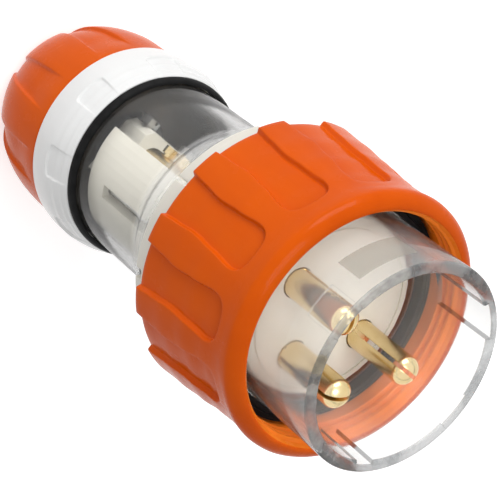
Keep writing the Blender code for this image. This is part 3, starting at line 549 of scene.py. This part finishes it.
def orange_plastic():
    """Orange moulding, with painted light in the bore of the ring: paler there, as if lit by light gathered
    through the clear shell.
    """
    finish = moulded("orange_moulding", (0.73, 0.106, 0.002), (0.63, 0.079, 0.001), 0.20, 0.30,
                     coat=0.08, index=1.1)
    height, distance, _angle = finish.place()
    # Painted light: the bore and thread of the ring are painted paler orange, for the light gathered there
    bore = finish.math("MULTIPLY", finish.above(height, (Z_RING + RING_SEAT_DEPTH + 0.3) * MM, 0.2 * MM),
                       finish.below(distance, (RING_BORE_R + 0.1) * MM, 0.05 * MM))
    repaint(finish, bore, finish.ramp(finish.noise(50.0), (0.3, (0.76, 0.165, 0.01)),
                                      (0.7, (0.86, 0.225, 0.028))))
    return finish.material


def make_finishes():
    cream = moulded("cream_moulding", (0.78, 0.75, 0.67), (0.71, 0.68, 0.60), 0.34, 0.48)
    finishes = {"orange_moulding": orange_plastic(), "cream_moulding": cream.material,
                "white_moulding": white_plastic(), "clear_polycarbonate": clear_plastic()}

    rubber = Finish("black_rubber", IOR=1.2)
    rubber.colours(rubber.noise(300.0), (0.3, (0.004, 0.004, 0.004)), (0.7, (0.011, 0.011, 0.0115)))
    rubber.roughness(rubber.noise(500.0, 4.0), 0.42, 0.62)
    rubber.bump(rubber.noise(1800.0), 0.15, 0.05)
    finishes["black_rubber"] = rubber.material

    brass = Finish("brass", Metallic=1.0)
    brass.colours(brass.noise(120.0, 4.0), (0.3, (0.76, 0.58, 0.28)), (0.7, (0.87, 0.71, 0.42)))
    brass.roughness(brass.noise(90.0, 5.0, 0.6), 0.18, 0.30)
    brass.bump(brass.noise(150.0, 3.0, 0.6), 0.05, 0.02)
    finishes["brass"] = brass.material

    steel = Finish("zinc_plated_steel", Metallic=1.0)
    steel.colours(steel.noise(200.0, 4.0), (0.3, (0.50, 0.50, 0.49)), (0.7, (0.66, 0.66, 0.65)))
    steel.roughness(steel.noise(400.0, 4.0), 0.24, 0.4)
    steel.bump(steel.noise(900.0), 0.08, 0.03)
    finishes["zinc_plated_steel"] = steel.material
    return finishes


def dress_solids(frame, finishes):
    """Give each solid that stays in view the finish of its own slot."""
    slots = {entry["node"]: entry["material_slot"] for entry in frame["record"]["subparts"]}
    for node, obj in frame["nodes"].items():
        obj.data.materials.clear()
        obj.data.materials.append(finishes[slots[node]])


# Pieces


def make_locking_ring(mat):
    """Ring with waisted pockets outside, a rounded front lip and the threaded, stepped bore."""
    bm = bmesh.new()
    front = Z_RING + RING_SHAPE[-1][0]
    seat = Z_RING + RING_SEAT_DEPTH
    pockets = PocketSkin(
        POCKET_COUNT, 2.25 * DEG,
        lambda z: blend_table(RING_SHAPE, z - Z_RING),
        lambda z: POCKET_DEPTH,
        lambda z: blend_table(POCKET_HALVES, z - Z_RING) * DEG,
        Z_RING + 0.5, Z_RING + 27.6, Z_RING + 33.2, front, 0.78)
    near, far = pockets.build(bm)
    angles = [angle for angle, _radius in near]
    rear = [[polar(radius, angle, Z_RING + 0.5) for angle, radius in near],
            [polar(radius - 0.15, angle, Z_RING + 0.14) for angle, radius in near],
            [polar(radius - 0.5, angle, Z_RING) for angle, radius in near]]
    seat_edge = [(RING_SEAT_R + 0.3, Z_RING), (RING_SEAT_R, Z_RING + 0.3), (RING_SEAT_R, seat),
                 (RING_BORE_R, seat)]
    skin(bm, rear + turned_rows(seat_edge, angles))
    lip = [(38.15, front), (38.0, front + 0.9), (37.5, front + 1.8), (36.7, front + 2.7),
           (35.7, front + 3.35), (34.9, front + 3.65), (34.3, Z_RING_FRONT), (33.95, Z_RING_FRONT - 0.12),
           (RING_BORE_R, Z_RING_FRONT - 0.5)]
    bore_end = [polar(RING_BORE_R, angle, seat) for angle in angles]
    skin(bm, turned_rows(lip, far) + thread_rows(far) + [bore_end])
    piece("ring_moulding", bm, mat, "lock", "locking_ring")


def thread_rows(angles):
    """Bore of the ring from its mouth inwards, with the turns of a round-crested thread."""
    top = Z_RING_FRONT - 2.2
    bottom = top - THREAD_TURNS * THREAD_PITCH
    rows = []
    steps = 54
    for step in range(steps + 1):
        along = top + 0.6 - (top - bottom + 1.6) * step / steps
        row = []
        for angle in angles:
            turn = (angle % TAU) / TAU
            phase = (along - bottom) / THREAD_PITCH - turn
            crest = 0.5 + 0.5 * math.cos(TAU * phase)
            crest = min(1.0, max(0.0, crest * 1.5 - 0.25))
            fade = min(1.0, max(0.0, phase + 0.5) * 2.5, max(0.0, THREAD_TURNS + 0.4 - phase) * 2.5)
            row.append(polar(RING_BORE_R - THREAD_HEIGHT * crest * max(0.0, fade), angle, along))
        rows.append(row)
    return rows


def make_gland_nut(mat):
    """Domed nut: shallow flutes run from the flat end, widen and fade out near the rim."""
    def land(height):
        return NUT_R - DOME_TAPER * (max(0.0, DOME_HEIGHT - height) / DOME_HEIGHT) ** DOME_POWER

    def columns(height):
        """Pairs of angle and sink round the nut, denser on the rounded walls of the flutes."""
        half = 5.8 + 4.2 * height / NUT_LENGTH
        wall = [(half + step, sink) for step, sink in FLUTE_WALL]
        floor = [(half * step / 4.0, 1.0) for step in range(-3, 4)]
        edge = wall[-1][0]
        lands = [(edge + (FLUTE_PITCH - 2.0 * edge) * step / 7.0, 0.0) for step in range(1, 7)]
        pattern = [(-angle, sink) for angle, sink in reversed(wall)] + floor + wall + lands
        return [((FLUTE_PHASE + FLUTE_PITCH * index + angle) * DEG, sink)
                for index in range(FLUTE_COUNT) for angle, sink in pattern]

    heights = [0.0, 0.12, 0.4, 0.9, 1.6] + [2.6 + 1.15 * step for step in range(28)]
    heights += [34.8, FLUTE_END, 36.9, 37.4, NUT_LENGTH]
    rows = []
    for height in heights:
        edge = 0.35 * max(0.0, 1.0 - height / 0.9) ** 2 + 0.25 * max(0.0, (height - 36.9) / 0.8) ** 2
        fade = min(1.0, max(0.0, FLUTE_END - height) / FLUTE_FADE)
        depth = FLUTE_DEPTH * fade * fade * (3.0 - 2.0 * fade)
        rows.append([polar(land(height) - edge - depth * sink, angle, height)
                     for angle, sink in columns(height)])
    angles = [angle for angle, _sink in columns(NUT_LENGTH)]
    inside = [(NUT_BORE_R + 0.6, NUT_LENGTH), (NUT_BORE_R, NUT_LENGTH - 0.6)]
    for step in range(1, 25):
        groove = 0.35 if step % 2 else 0.0
        inside.append((NUT_BORE_R + groove, NUT_LENGTH - 0.6 - step))
    inside += [(NUT_BORE_R, 12.5), (19.8, 12.5), (19.8, 8.6), (19.6, 8.4), (10.9, 8.4), (10.5, 8.0),
               (10.5, 2.2), (10.7, 1.4), (11.3, 0.7), (12.1, 0.15), (12.6, 0.0)]
    rows += turned_rows(inside, angles)
    bm = bmesh.new()
    skin(bm, rows, looped=True)
    piece("nut_moulding", bm, mat, "nut", "gland_nut")


def make_rear_collar(mat):
    """White collar: a convex band with shallow panels that run out at its front edge."""
    bm = bmesh.new()
    panels = PocketSkin(
        PANEL_COUNT, 34.5 * DEG,
        lambda z: blend_table(COLLAR_SHAPE, z - Z_COLLAR),
        lambda z: blend_table(PANEL_DEPTHS, z - Z_COLLAR),
        lambda z: 9.4 * DEG,
        Z_COLLAR + BAND_FRONT, Z_COLLAR + 9.6, Z_COLLAR + 8.0, Z_COLLAR + BAND_REAR, 0.7)
    near, far = panels.build(bm)
    angles = [angle for angle, _radius in near]
    front = [[polar(radius, angle, Z_COLLAR + BAND_FRONT) for angle, radius in near],
             [polar(radius - 0.12, angle, Z_COLLAR + 16.8) for angle, radius in near],
             [polar(radius - 0.35, angle, Z_COLLAR + 17.0) for angle, radius in near]]
    inner = [(28.2, 55.0), (28.05, 54.8), (28.05, 51.5), (25.7, 51.5), (25.7, 41.4), (11.5, 41.4),
             (11.5, 31.0), (STUB_BORE_R, 31.0), (STUB_BORE_R, 13.8), (17.6, 13.4), (22.4, 13.4)]
    for step in range(12):
        inner += [(STUB_THREAD_R - 0.45, 14.2 + 2.0 * step), (STUB_THREAD_R, 15.2 + 2.0 * step)]
    inner += [(STUB_THREAD_R, Z_COLLAR), (29.9, Z_COLLAR), (30.3, Z_COLLAR + 0.1)]
    edge = [polar(blend_table(COLLAR_SHAPE, BAND_REAR), angle, Z_COLLAR + BAND_REAR) for angle in far]
    skin(bm, front + turned_rows(inner, angles) + [edge])
    piece("collar_moulding", bm, mat, "plug", "rear_collar")


def clear_outline():
    """Outline of the clear body: outside from the spigot to the rim, then the bore back again."""
    outside = [(NECK_BORE_R, Z_SPIGOT), (24.9, Z_SPIGOT), (25.4, Z_SPIGOT + 0.5), (25.4, 51.8), (26.5, 51.8),
               (NECK_R, 52.05)]
    outside += [(NECK_R, 52.6), (NECK_R, Z_FLARE - 1.5), (NECK_R, Z_FLARE)]
    for step in range(1, 11):
        share = step / 10.0
        ease = share * share * (3.0 - 2.0 * share)
        outside.append((NECK_R + (BARREL_R - NECK_R) * ease, Z_FLARE + 7.0 * share))
    outside += [(BARREL_R, 97.4), (BARREL_R + 0.35, 97.7), (BARREL_R + 0.35, 98.5), (BARREL_R, 98.8)]
    outside += [(BARREL_R, 103.4), (31.0, 104.1), (31.1, 104.9), (BARREL_R, Z_RETAINER), (BARREL_R, 121.0),
                (FLANGE_R, 121.0), (FLANGE_R, 126.0), (BARREL_R, 126.0), (BARREL_R, 137.0),
                (FLANGE_R, 137.0), (FLANGE_R, 140.3), (SHROUD_R, 140.3), (SHROUD_R, 150.0),
                (SHROUD_R, 162.0), (SHROUD_R, 172.4)]
    for step in range(RIM_STEPS + 1):
        turn = 90.0 * DEG * step / RIM_STEPS
        outside.append((SHROUD_R - RIM_ROUND + RIM_ROUND * math.cos(turn),
                        Z_RIM - RIM_ROUND + RIM_ROUND * math.sin(turn)))
    for step in range(RIM_STEPS + 1):
        turn = 90.0 * DEG * (1.0 + step / RIM_STEPS)
        outside.append((SHROUD_BORE_R + RIM_ROUND + RIM_ROUND * math.cos(turn),
                        Z_RIM - RIM_ROUND + RIM_ROUND * math.sin(turn)))
    steps = sorted({round(Z_RIM - reach, 2) for _angle, _width, _depth, reach in KEYWAYS}, reverse=True)
    inside = [(SHROUD_BORE_R, 172.4)]
    for height in steps:
        inside += [(SHROUD_BORE_R, height + 0.3), (SHROUD_BORE_R, height), (SHROUD_BORE_R, height - 0.02)]
    inside += [(SHROUD_BORE_R, Z_FACE), (SHROUD_BORE_R, 101.3), (25.7, Z_WEB), (21.2, Z_WEB), (21.2, 98.0),
               (NECK_BORE_R, 98.0), (NECK_BORE_R, Z_FLARE), (NECK_BORE_R, 70.0)]
    return outside, inside


def make_clear_body(mat):
    """Shell with its keyways sunk into the bore of the shroud."""
    columns = {round(2.5 * step, 3) for step in range(144)}
    for angle, width, _depth, _reach in KEYWAYS:
        half = math.degrees(width / 2.0 / SHROUD_BORE_R)
        for edge in (angle - half, angle + half):
            columns = {c for c in columns if abs((c - edge + 180.0) % 360.0 - 180.0) > 0.8}
        for edge in (angle - half - 0.12, angle - half + 0.12, angle + half - 0.12, angle + half + 0.12):
            columns.add(round(edge % 360.0, 3))
    outside, inside = clear_outline()
    bore_start = len(outside) - RIM_STEPS - 1
    rows = []
    for index, (radius, height) in enumerate(outside + inside):
        row = []
        for column in sorted(columns):
            sunk = 0.0
            in_bore = radius < SHROUD_BORE_R + 0.75 and height > Z_FACE and index >= bore_start
            if in_bore:
                for angle, width, depth, reach in KEYWAYS:
                    half = math.degrees(width / 2.0 / SHROUD_BORE_R)
                    apart = abs((column - angle + 180.0) % 360.0 - 180.0)
                    if apart < half and height > Z_RIM - reach - 0.01:
                        sunk = max(0.0, SHROUD_BORE_R + depth - radius)
            row.append(polar(radius + sunk, column * DEG, height))
        rows.append(row)
    bm = bmesh.new()
    skin(bm, rows, looped=True)
    shell = piece("clear_shell", bm, mat, "plug", "clear_body", sharp=28.0)
    # Lamp light reaches the inside past the clear walls
    shell.visible_shadow = False


def make_seals(mat):
    """Rubber ring at the foot of the shroud and the one between the collar and the neck."""
    face = [(29.65, 140.6), (33.0, 140.6), (33.0, 143.2), (32.8, 143.4), (31.6, 143.4), (31.5, 143.1),
            (31.2, 143.0), (31.05, 143.2), (31.0, 143.6), (30.85, 143.75), (29.85, 143.75), (29.65, 143.6)]
    collar = [(27.05, 51.8), (27.75, 51.8), (27.75, 55.3), (28.55, 55.3), (28.62, 55.6), (28.45, 56.2),
              (28.0, 56.9), (27.5, 57.25), (27.05, 57.3)]
    turned_piece("shroud_seal", face, mat, "plug", "face_seal")
    turned_piece("neck_seal", collar, mat, "plug", "collar_seal")


def cut(obj, width, *saws):
    """Saw slots through a piece and ease its edges; each saw is a size, a centre and a turn."""
    for size, centre, angle in saws:
        bm = bmesh.new()
        bmesh.ops.create_cube(bm, size=1.0)
        stretch = Matrix.Diagonal(Vector((*[length * MM for length in size], 1.0)))
        place = Matrix.Translation(Vector(centre) * MM) @ Matrix.Rotation(angle, 4, "Z")
        bmesh.ops.transform(bm, matrix=place @ stretch, verts=bm.verts)
        mesh = bpy.data.meshes.new("saw")
        bm.to_mesh(mesh)
        bm.free()
        saw = bpy.data.objects.new("saw", mesh)
        bpy.context.scene.collection.objects.link(saw)
        slot = obj.modifiers.new("slot", "BOOLEAN")
        slot.operation = "DIFFERENCE"
        slot.solver = "EXACT"
        slot.object = saw
        apply_modifiers(obj)
        bpy.data.objects.remove(saw)
    edge = obj.modifiers.new("edge", "BEVEL")
    edge.width = width * MM
    edge.segments = 2
    edge.angle_limit = 50.0 * DEG
    edge.harden_normals = False
    apply_modifiers(obj)
    obj.data.shade_smooth()
    obj.data.set_sharp_from_angle(angle=32.0 * DEG)


def apply_modifiers(obj):
    """Replace a piece's mesh with what its modifiers make of it."""
    graph = bpy.context.evaluated_depsgraph_get()
    finished = bpy.data.meshes.new_from_object(obj.evaluated_get(graph))
    obj.modifiers.clear()
    obj.data = finished


def make_retainer(mat):
    """Split ring that holds the locking ring up, with notches along its lower edge."""
    outline = [(RETAINER_BORE_R, Z_RETAINER), (35.1, Z_RETAINER), (35.5, Z_RETAINER + 0.15),
               (RETAINER_R, Z_RETAINER + 0.6), (RETAINER_R, Z_RETAINER_END),
               (RETAINER_BORE_R, Z_RETAINER_END)]
    obj = turned_piece("retainer_moulding", outline, mat, "lock", "ring_retainer", sides=124)
    split = (0.0, (7.2, 1.4, 17.7), 33.1, 112.85)
    saws = []
    for turn, size, radius, height in (split, *RETAINER_NOTCHES):
        angle = (RETAINER_SPLIT + turn) * DEG
        saws.append((size, polar(radius, angle, height) / MM, angle))
    cut(obj, 0.18, *saws)


def make_pins(mat):
    """Pins with a bored barrel behind, a collar at the web and a split, rounded front."""
    low = 70.0
    tip = Z_FACE + 22.0
    outline = [(0.0, low + 18.0), (2.6, low + 18.0), (2.6, low + 0.3), (2.9, low), (4.3, low),
               (4.6, low + 0.3), (4.6, Z_WEB + 0.3), (5.3, Z_WEB + 0.3), (5.5, Z_WEB + 0.5),
               (5.5, Z_WEB + 2.1), (5.3, Z_WEB + 2.3), (PIN_R, Z_WEB + 2.3), (PIN_R, Z_FACE + 6.0)]
    for step in range(9):
        turn = 90.0 * DEG * step / 9.0
        outline.append((PIN_R * math.cos(turn), tip - 3.3 + 3.3 * math.sin(turn)))
    outline.append((0.0, tip))
    for name, angle, slot_angle in PINS:
        place = polar(PIN_CIRCLE_R, angle * DEG, 0.0)
        bm = bmesh.new()
        skin(bm, [[point + place for point in row] for row in turned_rows(outline, even_angles(48))])
        obj = piece(f"{name}_turned", bm, mat, "plug", name)
        centre = Vector((place.x, place.y, 0.0)) / MM + Vector((0.0, 0.0, Z_FACE + 11.8))
        cut(obj, 0.14, ((20.0, 1.1, 23.0), centre, slot_angle * DEG))


# Studio


def background_rays(nodes, links):
    """One for the rays that show the background: straight, mirrored or through clear plastic."""
    path = nodes.new("ShaderNodeLightPath")
    seen = path.outputs["Is Camera Ray"]
    for ray in ("Is Glossy Ray", "Is Transmission Ray"):
        either = nodes.new("ShaderNodeMath")
        either.operation = "MAXIMUM"
        links.new(seen, either.inputs[0])
        links.new(path.outputs[ray], either.inputs[1])
        seen = either.outputs["Value"]
    return seen


def studio_material(name, colour, glow):
    """Pale surface whose camera and mirror rays get a little glow, so it reads as white with its shadow."""
    mat = bpy.data.materials.new(name)
    mat.use_nodes = True
    nodes, links = mat.node_tree.nodes, mat.node_tree.links
    shader = nodes["Principled BSDF"]
    shader.inputs["Base Color"].default_value = (*colour, 1.0)
    shader.inputs["Roughness"].default_value = 0.9
    shader.inputs["Specular IOR Level"].default_value = 0.0
    amount = nodes.new("ShaderNodeMath")
    amount.operation = "MULTIPLY"
    amount.inputs[1].default_value = glow
    links.new(background_rays(nodes, links), amount.inputs[0])
    shader.inputs["Emission Color"].default_value = (1.0, 1.0, 1.0, 1.0)
    links.new(amount.outputs["Value"], shader.inputs["Emission Strength"])
    return mat


def make_floor():
    """Plain pale floor, a hair under the plug."""
    bm = bmesh.new()
    bmesh.ops.create_grid(bm, x_segments=24, y_segments=24, size=3.0)
    mesh = bpy.data.meshes.new("floor")
    bm.to_mesh(mesh)
    bm.free()
    floor = bpy.data.objects.new("floor", mesh)
    floor.location.z = -0.0002
    mesh.materials.append(studio_material("floor_white", (0.86, 0.86, 0.86), 0.6))
    bpy.context.scene.collection.objects.link(floor)


def make_lamp(name, place, aim, size, power):
    """Soft box that looks from its place to its aim."""
    data = bpy.data.lights.new(name, "AREA")
    data.shape = "RECTANGLE"
    data.size, data.size_y = size
    data.energy = power
    lamp = bpy.data.objects.new(name, data)
    lamp.location = place
    lamp.rotation_mode = "QUATERNION"
    lamp.rotation_quaternion = (Vector(place) - Vector(aim)).to_track_quat("Z", "Y")
    bpy.context.scene.collection.objects.link(lamp)


def make_world():
    """White surroundings, dimmer for the light they give than for what is seen of them."""
    world = bpy.data.worlds.new("studio")
    world.use_nodes = True
    nodes, links = world.node_tree.nodes, world.node_tree.links
    background = nodes["Background"]
    background.inputs["Color"].default_value = (1.0, 1.0, 1.0, 1.0)
    level = nodes.new("ShaderNodeMapRange")
    level.inputs["To Min"].default_value = 0.42
    level.inputs["To Max"].default_value = 1.0
    links.new(background_rays(nodes, links), level.inputs["Value"])
    links.new(level.outputs["Result"], background.inputs["Strength"])
    bpy.context.scene.world = world


def make_camera():
    """Camera fitted to the photograph, which shows the plug's axis running down to the right."""
    data = bpy.data.cameras.new("camera")
    data.lens = LENS
    data.sensor_width = 36.0
    camera = bpy.data.objects.new("camera", data)
    right = Vector(CAMERA_RIGHT).normalized()
    up = Vector(CAMERA_UP)
    up = (up - right * up.dot(right)).normalized()
    back = right.cross(up)
    turn = Matrix((right, up, back)).transposed().to_4x4()
    camera.matrix_world = Matrix.Translation(CAMERA_PLACE) @ turn
    bpy.context.scene.collection.objects.link(camera)
    bpy.context.scene.camera = camera


def make_studio():
    make_floor()
    make_world()
    make_lamp("key_box", place=(0.72, 0.56, 0.40), aim=(0.0, 0.0, 0.1), size=(0.6, 0.4), power=5.0)
    make_lamp("fill_box", place=(0.05, 0.45, 1.0), aim=(0.0, 0.0, 0.15), size=(0.5, 0.5), power=2.8)


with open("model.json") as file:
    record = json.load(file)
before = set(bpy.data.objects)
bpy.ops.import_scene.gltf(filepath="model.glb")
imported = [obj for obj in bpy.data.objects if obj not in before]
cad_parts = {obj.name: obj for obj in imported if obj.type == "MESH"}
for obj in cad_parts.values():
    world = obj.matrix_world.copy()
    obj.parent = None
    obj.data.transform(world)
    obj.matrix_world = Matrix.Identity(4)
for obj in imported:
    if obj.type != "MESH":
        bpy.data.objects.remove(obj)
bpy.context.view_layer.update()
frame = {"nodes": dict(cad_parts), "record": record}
finishes = make_finishes()
dress_solids(frame, finishes)
make_locking_ring(finishes["orange_moulding"])
make_gland_nut(finishes["orange_moulding"])
make_rear_collar(finishes["white_moulding"])
make_clear_body(finishes["clear_polycarbonate"])
make_seals(finishes["black_rubber"])
make_pins(finishes["brass"])
make_retainer(finishes["cream_moulding"])
make_studio()
make_camera()
bpy.context.scene.view_settings.view_transform = "Standard"
